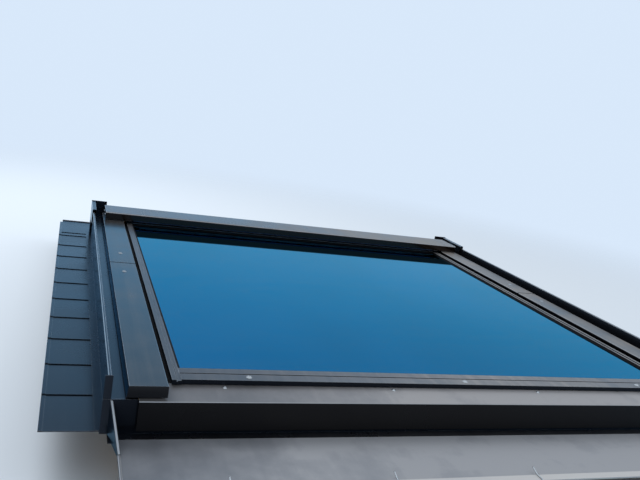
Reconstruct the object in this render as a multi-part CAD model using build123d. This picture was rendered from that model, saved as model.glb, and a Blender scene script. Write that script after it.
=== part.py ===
"""Centre-pivot roof window with its flashing for a slate roof.

The window lies flat. X runs along the eaves, Y up the slope and Z out of the roof. The origin is under
the middle of the window, level with the underside of the wooden frame. All sizes are in millimetres.
"""

from math import asin, ceil, degrees, hypot

from build123d import *
import os

os.makedirs("parts", exist_ok=True)

# Wooden frame
frame_width = 1140.0
frame_length = 1180.0
frame_height = 128.0
frame_board = 40.0
lining_groove_height = 18.0
lining_groove_depth = 10.0
timber_edge = 2.0

# Wooden sash
sash_gap = 13.0
sash_board = 51.0
sash_depth = 56.0
sash_lip = 6.0
sash_bevel = 12.0

# Glazing
pane = 4.0
pane_cavity = 16.0
pane_clearance = 1.0
spacer_inset = 2.0
spacer_width = 12.0
gasket_height = 2.0
gasket_slope = 5.3
gasket_edge = 0.5

# Folded aluminium
sheet = 1.0
bend = 2.0

# Side covers
cover_rise = 21.0
cover_gap = 9.5
cover_overhang = 15.0
cover_flare = 2.0
cover_inner_wall = 12.0
cover_split = 49.0
cover_split_gap = 4.0
cover_floor_gap = 3.0
cover_end_reach = 3.0
clip_clearance = 2.0
clip_length = 60.0
clips_each_side = 4

# Sash cladding
cladding_drop = 6.5
cladding_standoff = 2.0
cladding_floor_gap = 1.0
side_strip = 6.8
side_groove = 2.0
side_cladding_width = 14.3
glass_drop = 12.0
front_gap = 2.0
front_strip = 21.0
front_groove = 6.0
back_strip = 17.0
side_lip = 2.0

# Lower frame cover
front_overhang = 10.0
lower_cover_fall = 6.0
lower_cover_side_inset = 1.0
lower_cover_face = 46.0
lower_cover_return = 4.0

# Hood over the top of the frame
hood_side_overhang = 10.0
hood_length = 102.0
hood_overhang = 10.0
hood_rise = 22.0
hood_lip = 10.0
hood_tail = 50.0
hood_bend = 4.0
hood_rail_inset = 5.0
flap_end_gap = 43.5
flap_reach = 28.0
flap_drop = 14.0
flap_thickness = 5.0

# Side gutters: a floor on the frame and a beaded fin outside it
gutter_hook_inset = 10.0
gutter_hook = 11.0
channel_width = 22.0
fin_rise = 15.0
bead_radius = 2.5
fin_foot = 14.0

# Roof level, and the soakers that go under the slates
frame_above_roof = 53.0
soaker_tuck = 7.0
soaker_width = 98.0
soaker_gauge = 115.0
soaker_length = 180.0
soaker_gap = 0.6
soaker_welt = 6.0
soaker_welt_height = 2.0

# Bottom flashing and apron
bottom_strip = 28.0
apron_inset = 12.5
apron_lap = 6.0
apron_drop = 150.0
apron_thickness = 1.5
apron_hem = 15.0
apron_hem_height = 1.0
apron_welt_radius = 2.0

# Wire hooks that hold the apron's lower edge down
hook_count = 5
hook_spacing = 244.0
hook_row_shift = 31.0
hook_wire = 2.5
hook_shank_length = 90.0
hook_grip = 26.0

# Lower corner pieces
corner_wall = 2.0
corner_overhang = 3.0
corner_setback = 1.0
gusset_reach = 63.0
gusset_flare = 11.5
fin_plate_width = 11.0
fin_plate_lap = 1.5

# Top flashing and upper corner pieces
top_tray_length = 155.0
top_upstand = 66.0
top_welt_radius = 2.0
corner_rise = 23.0
corner_width = 11.0
corner_clearance = 0.5
corner_behind_hood = 10.0
corner_overrun = 46.0
corner_back_rise = 2.0
corner_hood_gap = 2.0
corner_hood_lap = 8.0

# Fixing brackets
bracket_thickness = 3.0
bracket_length = 70.0
bracket_reach = 63.0
bracket_height = 45.0
bracket_drop = 5.0
bracket_from_end = 190.0
bracket_hole_radius = 3.25
bracket_hole_spacing = 36.0
bracket_hole_from_edge = 23.0

# Fittings on the room side
bar_end_gap = 86.0
bar_width = 14.0
bar_height = 26.0
bar_gap = 24.0
bar_rise = 18.0
bar_bracket_width = 30.0
bar_bracket_inset = 80.0
bar_bracket_height = 18.0
pivot_plate_length = 120.0
pivot_plate_height = 34.0
pivot_plate_thickness = 3.0
pivot_boss_radius = 13.0
pivot_rise = 21.0
seal_height = 11.0
seal_drop = 4.0
bolt_from_corner = 156.0
bolt_length = 60.0
bolt_width = 16.0
bolt_thickness = 10.0
bolt_rod_radius = 4.0
bolt_rod_length = 84.0

# Places that follow from the sizes above
frame_x = frame_width / 2
frame_y = frame_length / 2
opening_x = frame_x - frame_board
opening_y = frame_y - frame_board
sash_x = opening_x - sash_gap
sash_y = opening_y - sash_gap
sash_inner_x = sash_x - sash_board
sash_inner_y = sash_y - sash_board
unit_x = sash_x - sash_lip - pane_clearance
unit_y = sash_y - sash_lip - pane_clearance
lower_cover_top = frame_height + sheet
cover_top = lower_cover_top + cover_rise
cover_x = frame_x + cover_overhang
cladding_top = cover_top - cladding_drop
glass_top = cover_top - glass_drop
unit_bed = glass_top - 2 * pane - pane_cavity
sash_low = unit_bed - sash_depth
gasket_top = glass_top + gasket_height
tread_depth = cladding_top - sheet - gasket_top
strip_top = cladding_top - tread_depth / 2
groove_top = cladding_top - tread_depth
seal_low = frame_height - seal_drop
seal_top = seal_low + seal_height
cladding_foot = max(lower_cover_top + lower_cover_fall, seal_top) + cladding_floor_gap
cladding_x = sash_x + cladding_standoff
cover_inner = cladding_x + cover_gap
glass_x = cladding_x - side_cladding_width
front_y = opening_y + 2 * sheet + front_gap
glass_y = front_y - front_strip - front_groove - back_strip
lower_cover_y = frame_y + front_overhang
hood_x = frame_x + hood_side_overhang
hood_back = frame_y + hood_overhang
hood_front = hood_back - hood_length
hood_top = cover_top + hood_rise
hood_rail_x = cover_inner - hood_rail_inset
fin_inner = cover_x + cover_flare + channel_width
fin_top = cover_top + fin_rise
bead_x = fin_inner + sheet / 2 + bead_radius
roof_level = frame_height - frame_above_roof
soaker_inner = fin_inner - soaker_tuck
soaker_outer = soaker_inner + soaker_width
soaker_tilt = degrees(asin((sheet + soaker_gap) / soaker_gauge))
soaker_stack = sheet + (sheet + soaker_gap) * soaker_length / soaker_gauge
flange_level = roof_level + soaker_stack
apron_x = fin_inner - apron_inset
apron_edge = lower_cover_y + apron_drop
strip_edge = frame_y + bottom_strip
corner_lip_y = frame_y + corner_overhang
corner_face_y = corner_lip_y - corner_setback
gusset_x = apron_x + gusset_flare
gusset_foot_y = corner_face_y + gusset_reach
fin_plate_inner = fin_inner - fin_plate_lap
fin_plate_outer = fin_plate_inner + fin_plate_width
tray_edge = frame_y + top_tray_length
corner_outer = bead_x + bead_radius + corner_clearance + sheet
corner_inner = corner_outer - corner_width
bracket_level = roof_level - bracket_drop
bar_x = sash_inner_x - bar_end_gap
bar_level = sash_low + bar_rise
pivot_level = sash_low + pivot_rise


def block(x_low, x_high, y_low, y_high, z_low, z_high):
    """A box between two corners."""
    size = Box(x_high - x_low, y_high - y_low, z_high - z_low, align=(Align.MIN, Align.MIN, Align.MIN))
    return Pos(x_low, y_low, z_low) * size


def slab(half_x, half_y, z_low, z_high):
    """A box centred on the window."""
    return block(-half_x, half_x, -half_y, half_y, z_low, z_high)


def up_slope(section, y_low, y_high):
    """Carries an X-Z section from one height on the slope to another."""
    return extrude(Plane.XZ.offset(-y_high) * section, amount=y_high - y_low)


def along_eaves(section, x_low, x_high):
    """Carries a Y-Z section from one place along the eaves to another."""
    return extrude(Plane.YZ.offset(x_low) * section, amount=x_high - x_low)


def plate(points):
    """A flat face with straight sides."""
    return make_face(Polyline(*points, close=True))


def folded(points, radius=0.0):
    """The section of a folded sheet whose outer face runs through the points, metal on its left."""
    outer = [Vector(*point) for point in points]
    runs = [(end - start).normalized() for start, end in zip(outer, outer[1:])]
    normals = [Vector(-run.Y, run.X) for run in runs]
    before = normals[:1] + normals
    after = normals + normals[-1:]
    inner = [
        point + (first + second) * (sheet / (1 + first.dot(second)))
        for point, first, second in zip(outer, before, after)
    ]
    section = plate([(point.X, point.Y) for point in outer + inner[::-1]])
    if not radius:
        return section
    for bends, bend_radius in ((outer[1:-1], radius), (inner[1:-1], radius - sheet)):
        corners = [
            corner for corner in section.vertices()
            if min((Vector(corner) - point).length for point in bends) < sheet / 10
        ]
        section = fillet(corners, bend_radius)
    return section


def rod(start, end, radius):
    """A round bar between two points."""
    line = Line(start, end)
    return sweep(Plane(origin=start, z_dir=line % 0) * Circle(radius), path=line)


def both_sides(name, right):
    """Writes a right-hand piece and its mirror image."""
    write(name + "_right", right)
    write(name + "_left", mirror(right, about=Plane.YZ))


def write(name, solid):
    """Writes one sub-part to its own file."""
    solid.label = name
    export_step(solid, "parts/" + name + ".step")


def four_members(ring, name, inner_x):
    """Cuts a timber ring into sides that run through and a top and bottom between them."""
    reach = frame_length
    height = cover_top
    between = block(-inner_x, inner_x, 0, reach, -height, height)
    write(name + "_top", ring & between)
    write(name + "_bottom", ring & mirror(between, about=Plane.XZ))
    both_sides(name, ring & block(inner_x, reach, -reach, reach, -height, height))


def frame_ring():
    ring = slab(frame_x, frame_y, 0, frame_height) - slab(opening_x, opening_y, 0, frame_height)
    ring -= slab(opening_x + lining_groove_depth, opening_y + lining_groove_depth, 0, lining_groove_height)
    outer_foot = ring.faces().sort_by(Axis.Z)[0].outer_wire().edges()
    return chamfer(outer_foot, timber_edge)


def sash_ring():
    ring = slab(sash_x, sash_y, sash_low, glass_top) - slab(sash_inner_x, sash_inner_y, sash_low, glass_top)
    ring -= slab(sash_x - sash_lip, sash_y - sash_lip, unit_bed, glass_top)
    bed = ring.faces().filter_by(Axis.Z).filter_by(lambda face: abs(face.center().Z - unit_bed) < sheet)[0]
    underside = ring.faces().sort_by(Axis.Z)[0]
    ring = chamfer(bed.inner_wires()[0].edges(), sash_bevel)
    return chamfer(underside.inner_wires()[0].edges(), timber_edge)


def glazing():
    write("inner_pane", slab(unit_x, unit_y, unit_bed, unit_bed + pane))
    write("outer_pane", slab(unit_x, unit_y, glass_top - pane, glass_top))
    spacer_x = unit_x - spacer_inset
    spacer_y = unit_y - spacer_inset
    spacer = slab(spacer_x, spacer_y, unit_bed + pane, glass_top - pane)
    hollow = slab(spacer_x - spacer_width, spacer_y - spacer_width, unit_bed + pane, glass_top - pane)
    write("glass_spacer", spacer - hollow)
    rubber = slab(sash_x, sash_y, glass_top, gasket_top) + slab(glass_x, glass_y, glass_top, strip_top)
    lip = [
        Pos(0, 0, level) * Rectangle(2 * (glass_x - inset), 2 * (glass_y - inset))
        for level, inset in ((glass_top, gasket_slope), (strip_top, gasket_edge))
    ]
    write("pane_gasket", rubber - loft(lip))


def sash_seal():
    """Fills the gap round the sash."""
    write("sash_seal", slab(opening_x, opening_y, seal_low, seal_top) - slab(sash_x, sash_y, seal_low, seal_top))


def side_cover(y_low, y_high, ends):
    """A box-shaped cover over the side of the frame, closed with a plate at each place in ends."""
    foot = lower_cover_top + cover_floor_gap
    outline = [(cover_x + cover_flare, foot), (cover_x, cover_top), (cover_inner, cover_top)]
    cover = up_slope(folded(outline + [(cover_inner, cover_top - cover_inner_wall)], bend), y_low, y_high)
    closed = fillet(plate(outline + [(cover_inner, foot)]).vertices().sort_by(Axis.Y)[-2:], bend)
    for y_place in ends:
        cover += up_slope(closed, y_place, y_place + sheet)
    return cover


def side_covers():
    low = -frame_y - cover_end_reach
    split_low = cover_split - cover_split_gap / 2
    split_high = cover_split + cover_split_gap / 2
    both_sides("lower_cover", side_cover(low, split_low, [low]))
    both_sides("upper_cover", side_cover(split_high, frame_y - cover_split_gap, []))


def cover_clips():
    """Blocks on the frame that the side covers sit on, clear of the gutter's hook."""
    inner = max(cover_inner + sheet + clip_clearance, opening_x)
    outer = frame_x - gutter_hook_inset - clip_clearance
    pitch = frame_length / clips_each_side
    clips = []
    for index in range(clips_each_side):
        low = -frame_y + pitch * (index + 0.5) - clip_length / 2
        clip = block(inner, outer, low, low + clip_length, frame_height, cover_top - sheet)
        clips += [clip, mirror(clip, about=Plane.YZ)]
    write("cover_clips", Compound(children=clips))


def side_cladding():
    """Two narrow strips with a groove between them, the inner one a little lower."""
    groove_outer = cladding_x - side_strip
    groove_inner = groove_outer - side_groove
    points = [
        (cladding_x, cladding_foot),
        (cladding_x, cladding_top),
        (groove_outer, cladding_top),
        (groove_outer, groove_top),
        (groove_inner, groove_top),
        (groove_inner, strip_top),
        (glass_x, strip_top),
        (glass_x, gasket_top),
    ]
    low = -front_y - side_lip
    cladding = up_slope(folded(points), low, sash_y + cladding_standoff)
    end = plate(points + [(glass_x, cladding_foot)])
    return cladding + up_slope(end, low, low + sheet)


def sash_claddings():
    both_sides("sash_cladding", side_cladding())
    groove_front = -front_y + front_strip
    groove_back = groove_front + front_groove
    bottom = [
        (-glass_y, gasket_top),
        (-glass_y, strip_top),
        (groove_back, strip_top),
        (groove_back, groove_top),
        (groove_front, groove_top),
        (groove_front, cladding_top),
        (-front_y, cladding_top),
        (-front_y, cladding_foot),
    ]
    write("sash_cladding_bottom", along_eaves(folded(bottom), -glass_x, glass_x))
    top_y = sash_y + cladding_standoff
    top = [
        (top_y, cladding_foot),
        (top_y, cladding_top),
        (glass_y, cladding_top),
        (glass_y, gasket_top),
    ]
    write("sash_cladding_top", along_eaves(folded(top), -glass_x, glass_x))


def lower_frame_cover():
    """Falls forward over the bottom of the frame, and turns down in front of it and up behind it."""
    half = frame_x - lower_cover_side_inset
    back = -opening_y
    back_level = lower_cover_top + lower_cover_fall
    points = [
        (back - sheet / 2, back_level),
        (-lower_cover_y, lower_cover_top),
        (-lower_cover_y, lower_cover_top - lower_cover_face),
    ]
    cover = along_eaves(folded(points, bend), -half, half)
    upstand = block(-glass_x, glass_x, back - sheet, back, frame_height, back_level + lower_cover_return)
    write("lower_frame_cover", cover + upstand)


def hood():
    points = [
        (hood_back, cover_top - hood_tail),
        (hood_back, hood_top),
        (hood_front, hood_top),
        (hood_front, cover_top),
        (hood_front + hood_lip, cover_top),
    ]
    inner = hood_x - sheet
    write("hood", along_eaves(folded(points, hood_bend), -inner, inner))
    notch = frame_y
    end = plate([
        (hood_front, cover_top),
        (notch, cover_top),
        (notch, cover_top - hood_tail),
        (hood_back, cover_top - hood_tail),
        (hood_back, hood_top),
        (hood_front, hood_top),
    ])
    end = fillet(end.vertices().filter_by(lambda corner: corner.Y > hood_top - sheet), hood_bend)
    right_end = along_eaves(end, inner, hood_x)
    write("hood_ends", Compound(children=[right_end, mirror(right_end, about=Plane.YZ)]))
    rail = block(-hood_rail_x, hood_rail_x, opening_y, frame_y, frame_height, hood_top - sheet)
    front_edge = rail.edges().filter_by(Axis.X).group_by(Axis.Z)[-1].sort_by(Axis.Y)[0]
    write("hood_rail", chamfer(front_edge, hood_bend))
    hinge_top = hood_top - hood_bend - sheet
    flap = plate([
        (opening_y, hinge_top),
        (opening_y, hinge_top - flap_thickness),
        (opening_y - flap_reach, hinge_top - flap_thickness - flap_drop),
        (opening_y - flap_reach, hinge_top - flap_drop),
    ])
    flap_x = hood_rail_x - flap_end_gap
    write("ventilation_flap", along_eaves(flap, -flap_x, flap_x))


def side_gutter():
    """A floor on the frame's edge, a fin of doubled sheet with a bead on top, and a foot flange."""
    floor_top = lower_cover_top
    hook = frame_x - gutter_hook_inset
    bead_z = fin_top - bead_radius
    fin_outer = fin_inner + 2 * sheet
    section = plate([
        (hook, frame_height),
        (fin_inner + sheet, frame_height),
        (fin_inner + sheet, flange_level),
        (fin_outer + fin_foot, flange_level),
        (fin_outer + fin_foot, flange_level + sheet),
        (fin_outer, flange_level + sheet),
        (fin_outer, bead_z),
        (fin_inner, bead_z),
        (fin_inner, floor_top),
        (hook + sheet, floor_top),
        (hook + sheet, floor_top + gutter_hook),
        (hook, floor_top + gutter_hook),
    ])
    section += Pos(bead_x, bead_z) * Circle(bead_radius)
    gutter = up_slope(section, -frame_y, frame_y)
    return gutter - block(hook, frame_x, -frame_y, sheet - opening_y, frame_height, floor_top + gutter_hook)


def soakers():
    """Plates lapped like slates, each with a folded welt on its outer edge."""
    flat = block(soaker_inner, soaker_outer, 0, soaker_length, 0, sheet)
    flat += block(soaker_outer - soaker_welt, soaker_outer, 0, soaker_gauge, 0, soaker_welt_height)
    tilted = Rot(-soaker_tilt, 0, 0) * flat
    under_flange = tilted.vertices().filter_by(lambda corner: corner.X < soaker_outer - soaker_welt)
    lift = flange_level - under_flange.sort_by(Axis.Z)[-1].Z
    count = ceil(frame_length / soaker_gauge)
    return [Pos(0, -frame_y + index * soaker_gauge, lift) * tilted for index in range(count)]


def gusset():
    """A sloping side wall with a rolled edge, turned so that its foot meets the apron's side."""
    length = hypot(gusset_reach, gusset_flare)
    foot = roof_level + apron_thickness
    into_face = sheet / 2
    wall = plate([(into_face, foot), (-length, foot), (0, frame_height), (into_face, frame_height)])
    radius = apron_welt_radius
    welt = rod((-radius, -radius / 2, frame_height - radius), (-radius, -length, foot + radius), radius)
    turned = Rot(0, 0, -degrees(asin(gusset_flare / length))) * (along_eaves(wall, -corner_wall, 0) + welt)
    return Pos(gusset_x, -corner_face_y, 0) * turned


def lower_corner():
    """Closes the gutter's lower end: a drip lip, a front plate that rises over the fin, and the gusset."""
    inner = frame_x + sheet
    face_back = sheet - corner_face_y
    lip = block(inner, fin_plate_outer, -corner_lip_y, -frame_y, frame_height, lower_cover_top)
    face = block(inner, fin_plate_outer, -corner_face_y, face_back, roof_level, frame_height)
    face += block(fin_plate_inner, fin_plate_outer, -corner_face_y, face_back, frame_height, fin_top)
    floor = plate([(apron_x, -corner_face_y), (gusset_x, -corner_face_y), (apron_x, -gusset_foot_y)])
    return lip + face + gusset() + extrude(Pos(0, 0, roof_level) * floor, amount=apron_thickness)


def upper_corner():
    """Covers the fin's upper end, closes the gutter and stands on the top flashing."""
    top = cover_top + corner_rise
    foot = flange_level + sheet
    floor = lower_cover_top
    outline = [(corner_outer, floor), (corner_outer, top), (corner_inner, top), (corner_inner, floor)]
    low = hood_front + corner_behind_hood
    high = frame_y + corner_overrun
    cap = up_slope(folded(outline, bend), low, high)
    side = block(corner_outer - sheet, corner_outer, frame_y + sheet, high, foot, floor + bend)
    tray = block(hood_x + corner_hood_gap, corner_inner + sheet, frame_y, high, frame_height, floor)
    back = block(hood_x - corner_hood_lap, corner_outer, high - sheet, high, foot, top + corner_back_rise)
    return cap + side + tray + back


def bottom_flashing():
    """Rises behind the lower cover to the frame's top, and lies on the roof in front of the frame."""
    back = -frame_y - sheet
    inner = frame_x + sheet
    section = folded([(back, frame_height), (back, roof_level), (-strip_edge, roof_level)])
    strip = along_eaves(section, -inner, inner)
    for side in (-1, 1):
        wing = block(inner, gusset_x, -strip_edge, -frame_y, roof_level - sheet, roof_level)
        strip += wing if side > 0 else mirror(wing, about=Plane.YZ)
    write("bottom_flashing", strip)


def apron():
    """The soft skirt in front of the window, with a hem and two side welts."""
    top = roof_level + apron_thickness
    low = -apron_edge
    high = -strip_edge + apron_lap
    skirt = block(-apron_x, apron_x, low, high, roof_level, top)
    skirt += block(-apron_x, apron_x, low, low + apron_hem, top, top + apron_hem_height)
    welt_x = apron_x - apron_welt_radius
    for side in (-1, 1):
        skirt += rod((side * welt_x, low, top), (side * welt_x, -gusset_foot_y, top), apron_welt_radius)
    return skirt - slab(frame_length, frame_length, roof_level - apron_thickness, roof_level)


def apron_hooks():
    """Wires that come from under the apron and turn round its lower edge."""
    front = -apron_edge - hook_wire
    bottom = roof_level - hook_wire
    hem_top = roof_level + apron_thickness + apron_hem_height
    half = hook_wire / 2
    hook = block(-half, half, front, hook_shank_length - apron_edge, bottom, roof_level)
    hook += block(-half, half, front, -apron_edge, bottom, hem_top + hook_wire)
    hook += block(-half, half, front, hook_grip - apron_edge, hem_top, hem_top + hook_wire)
    first = hook_row_shift - hook_spacing * (hook_count - 1) / 2
    places = [first + index * hook_spacing for index in range(hook_count)]
    write("apron_hooks", Compound(children=[Pos(x_place, 0, 0) * hook for x_place in places]))


def top_flashing():
    floor = flange_level
    inner = hood_x - 2 * sheet
    upstand = block(-inner, inner, frame_y, frame_y + sheet, floor, floor + top_upstand)
    half = soaker_outer - soaker_welt - sheet
    tray = block(-half, half, frame_y, tray_edge, floor, floor + sheet)
    welt_y = tray_edge - top_welt_radius
    welt_z = floor + top_welt_radius
    welt = rod((-half, welt_y, welt_z), (half, welt_y, welt_z), top_welt_radius)
    return upstand + tray + welt


def fixing_brackets():
    """Angle brackets that screw the frame to the roof battens, two on each side."""
    outer = frame_x + bracket_reach
    angle = plate([
        (frame_x, bracket_level - bracket_height),
        (frame_x + bracket_thickness, bracket_level - bracket_height),
        (frame_x + bracket_thickness, bracket_level - bracket_thickness),
        (outer, bracket_level - bracket_thickness),
        (outer, bracket_level),
        (frame_x, bracket_level),
    ])
    bracket = up_slope(angle, -bracket_length / 2, bracket_length / 2)
    hole_x = outer - bracket_hole_from_edge
    for hole_y in (-bracket_hole_spacing / 2, bracket_hole_spacing / 2):
        bracket -= Pos(hole_x, hole_y, bracket_level) * Cylinder(bracket_hole_radius, 4 * bracket_thickness)
    brackets = []
    bracket_place = frame_y - bracket_from_end
    for y_place in (-bracket_place, bracket_place):
        placed = Pos(0, y_place, 0) * bracket
        brackets += [placed, mirror(placed, about=Plane.YZ)]
    write("fixing_brackets", Compound(children=brackets))


def control_bar():
    """The rounded bar that tilts the flap, on three brackets under the top of the sash."""
    bar_back = sash_inner_y - bar_gap
    section = RectangleRounded(bar_width, bar_height, bar_width / 2 - 1)
    write("control_bar", along_eaves(Pos(bar_back - bar_width / 2, bar_level) * section, -bar_x, bar_x))
    brackets = []
    outer_place = bar_x - bar_bracket_inset
    for x_place in (-outer_place, 0, outer_place):
        low_x = x_place - bar_bracket_width / 2
        low_z = bar_level - bar_bracket_height / 2
        brackets.append(block(low_x, low_x + bar_bracket_width, bar_back, sash_inner_y,
                              low_z, low_z + bar_bracket_height))
    write("bar_brackets", Compound(children=brackets))


def pivot():
    """A plate on the frame and a boss that reaches the sash."""
    plate_x = opening_x - pivot_plate_thickness
    half = pivot_plate_length / 2
    low = pivot_level - pivot_plate_height / 2
    hinge = block(plate_x, opening_x, cover_split - half, cover_split + half, low, low + pivot_plate_height)
    boss = Cylinder(pivot_boss_radius, plate_x - sash_x, align=(Align.CENTER, Align.CENTER, Align.MIN))
    return hinge + Pos(sash_x, cover_split, pivot_level) * Rot(0, 90, 0) * boss


def cleaning_bolts():
    """Barrel bolts on the room side of the sash's side members, shown drawn."""
    face = sash_inner_x
    bolt_place = bolt_from_corner - sash_inner_y
    low = sash_low + timber_edge
    body = block(face - bolt_thickness, face, bolt_place - bolt_length / 2, bolt_place + bolt_length / 2,
                 low, low + bolt_width)
    middle = (face - bolt_thickness / 2, low + bolt_width / 2)
    half = bolt_rod_length / 2
    ends = [(middle[0], bolt_place + side * half, middle[1]) for side in (-1, 1)]
    bolt = body + rod(ends[0], ends[1], bolt_rod_radius)
    write("cleaning_bolts", Compound(children=[bolt, mirror(bolt, about=Plane.YZ)]))


four_members(frame_ring(), "frame", opening_x)
four_members(sash_ring(), "sash", sash_inner_x)
glazing()
sash_seal()
side_covers()
cover_clips()
sash_claddings()
lower_frame_cover()
hood()
both_sides("side_gutter", side_gutter())
both_sides("soakers", Compound(children=soakers()))
both_sides("lower_corner", lower_corner())
both_sides("upper_corner", upper_corner())
bottom_flashing()
write("apron", apron())
apron_hooks()
write("top_flashing", top_flashing())
fixing_brackets()
control_bar()
both_sides("pivot", pivot())
cleaning_bolts()
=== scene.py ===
"""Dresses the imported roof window, adds its small fittings and sets the photograph's view.

Lengths are in metres. X runs along the eaves, Y up the slope and Z out of the roof, with the origin
under the middle of the window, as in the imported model.
"""

from __future__ import annotations

import logging
from abc import ABC, abstractmethod
from dataclasses import dataclass, field
from enum import Enum
from typing import Union

import bmesh
import bpy
import numpy as np
from mathutils import Matrix, Vector

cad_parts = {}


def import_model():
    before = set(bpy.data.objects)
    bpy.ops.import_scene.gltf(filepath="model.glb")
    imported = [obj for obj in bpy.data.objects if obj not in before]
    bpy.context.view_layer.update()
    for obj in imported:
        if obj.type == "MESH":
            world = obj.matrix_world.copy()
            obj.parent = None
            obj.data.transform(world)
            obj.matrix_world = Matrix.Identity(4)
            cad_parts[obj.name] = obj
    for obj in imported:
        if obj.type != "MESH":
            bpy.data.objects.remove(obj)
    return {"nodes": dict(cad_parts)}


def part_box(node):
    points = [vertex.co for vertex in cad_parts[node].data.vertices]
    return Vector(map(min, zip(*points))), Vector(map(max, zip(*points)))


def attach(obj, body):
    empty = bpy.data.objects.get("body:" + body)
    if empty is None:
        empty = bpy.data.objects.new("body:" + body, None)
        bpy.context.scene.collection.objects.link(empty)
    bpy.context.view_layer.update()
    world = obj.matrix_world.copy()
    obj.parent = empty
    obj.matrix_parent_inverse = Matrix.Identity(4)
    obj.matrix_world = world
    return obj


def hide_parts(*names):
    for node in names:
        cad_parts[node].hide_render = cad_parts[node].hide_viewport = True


LOG = logging.getLogger("roof_window")
BODY = "root"

GLASS_IOR = 1.52
FULL_TURN = 2.0 * np.pi
MERGE_DISTANCE = 0.000001
CAP_SEGMENTS = 40
KNOB_SEGMENTS = 28
SCREW_SEGMENTS = 40
WIRE_SEGMENTS = 12
FLOOR_SEGMENTS = 64

# A colour is linear red, green and blue, and a place is one number for each axis
Colour = tuple[float, float, float]
Place = tuple[float, float, float]
Socket = bpy.types.NodeSocket
Value = Union[float, tuple, Vector, Socket]


class Slot(Enum):
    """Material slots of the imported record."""

    PLASTIC = "fitting_plastic"
    ZINC = "zinc_steel"
    STAINLESS = "stainless_steel"


class Grain(Enum):
    """The way the grain of a timber member runs."""

    ALONG_EAVES = 0.0
    UP_SLOPE = np.pi / 2


class Facing(Enum):
    """The way a screw's head faces, as its axis, and the direction that its drive is turned to.

    LEANING stands square to the lower cover's top, which falls 6 mm over 49.5 mm.
    """

    OUT = ((0.0, 0.0, 1.0), (1.0, 0.0, 0.0))
    LEANING = ((0.0, -0.1203, 0.9927), (1.0, 0.0, 0.0))
    RIGHT = ((1.0, 0.0, 0.0), (0.0, 1.0, 0.0))
    LEFT = ((-1.0, 0.0, 0.0), (0.0, 1.0, 0.0))


def linear(red: float, green: float, blue: float) -> Colour:
    """Turns a display colour of 0 to 255 into the linear colour that a shader takes.

    Args:
        red: Red as displayed.
        green: Green as displayed.
        blue: Blue as displayed.

    Returns:
        The linear colour, each channel from 0 to 1.
    """
    shown = np.array([red, green, blue]) / 255.0
    decoded = np.where(shown <= 0.04045, shown / 12.92, ((shown + 0.055) / 1.055) ** 2.4)
    return tuple(float(channel) for channel in decoded)


# Finishes


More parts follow.
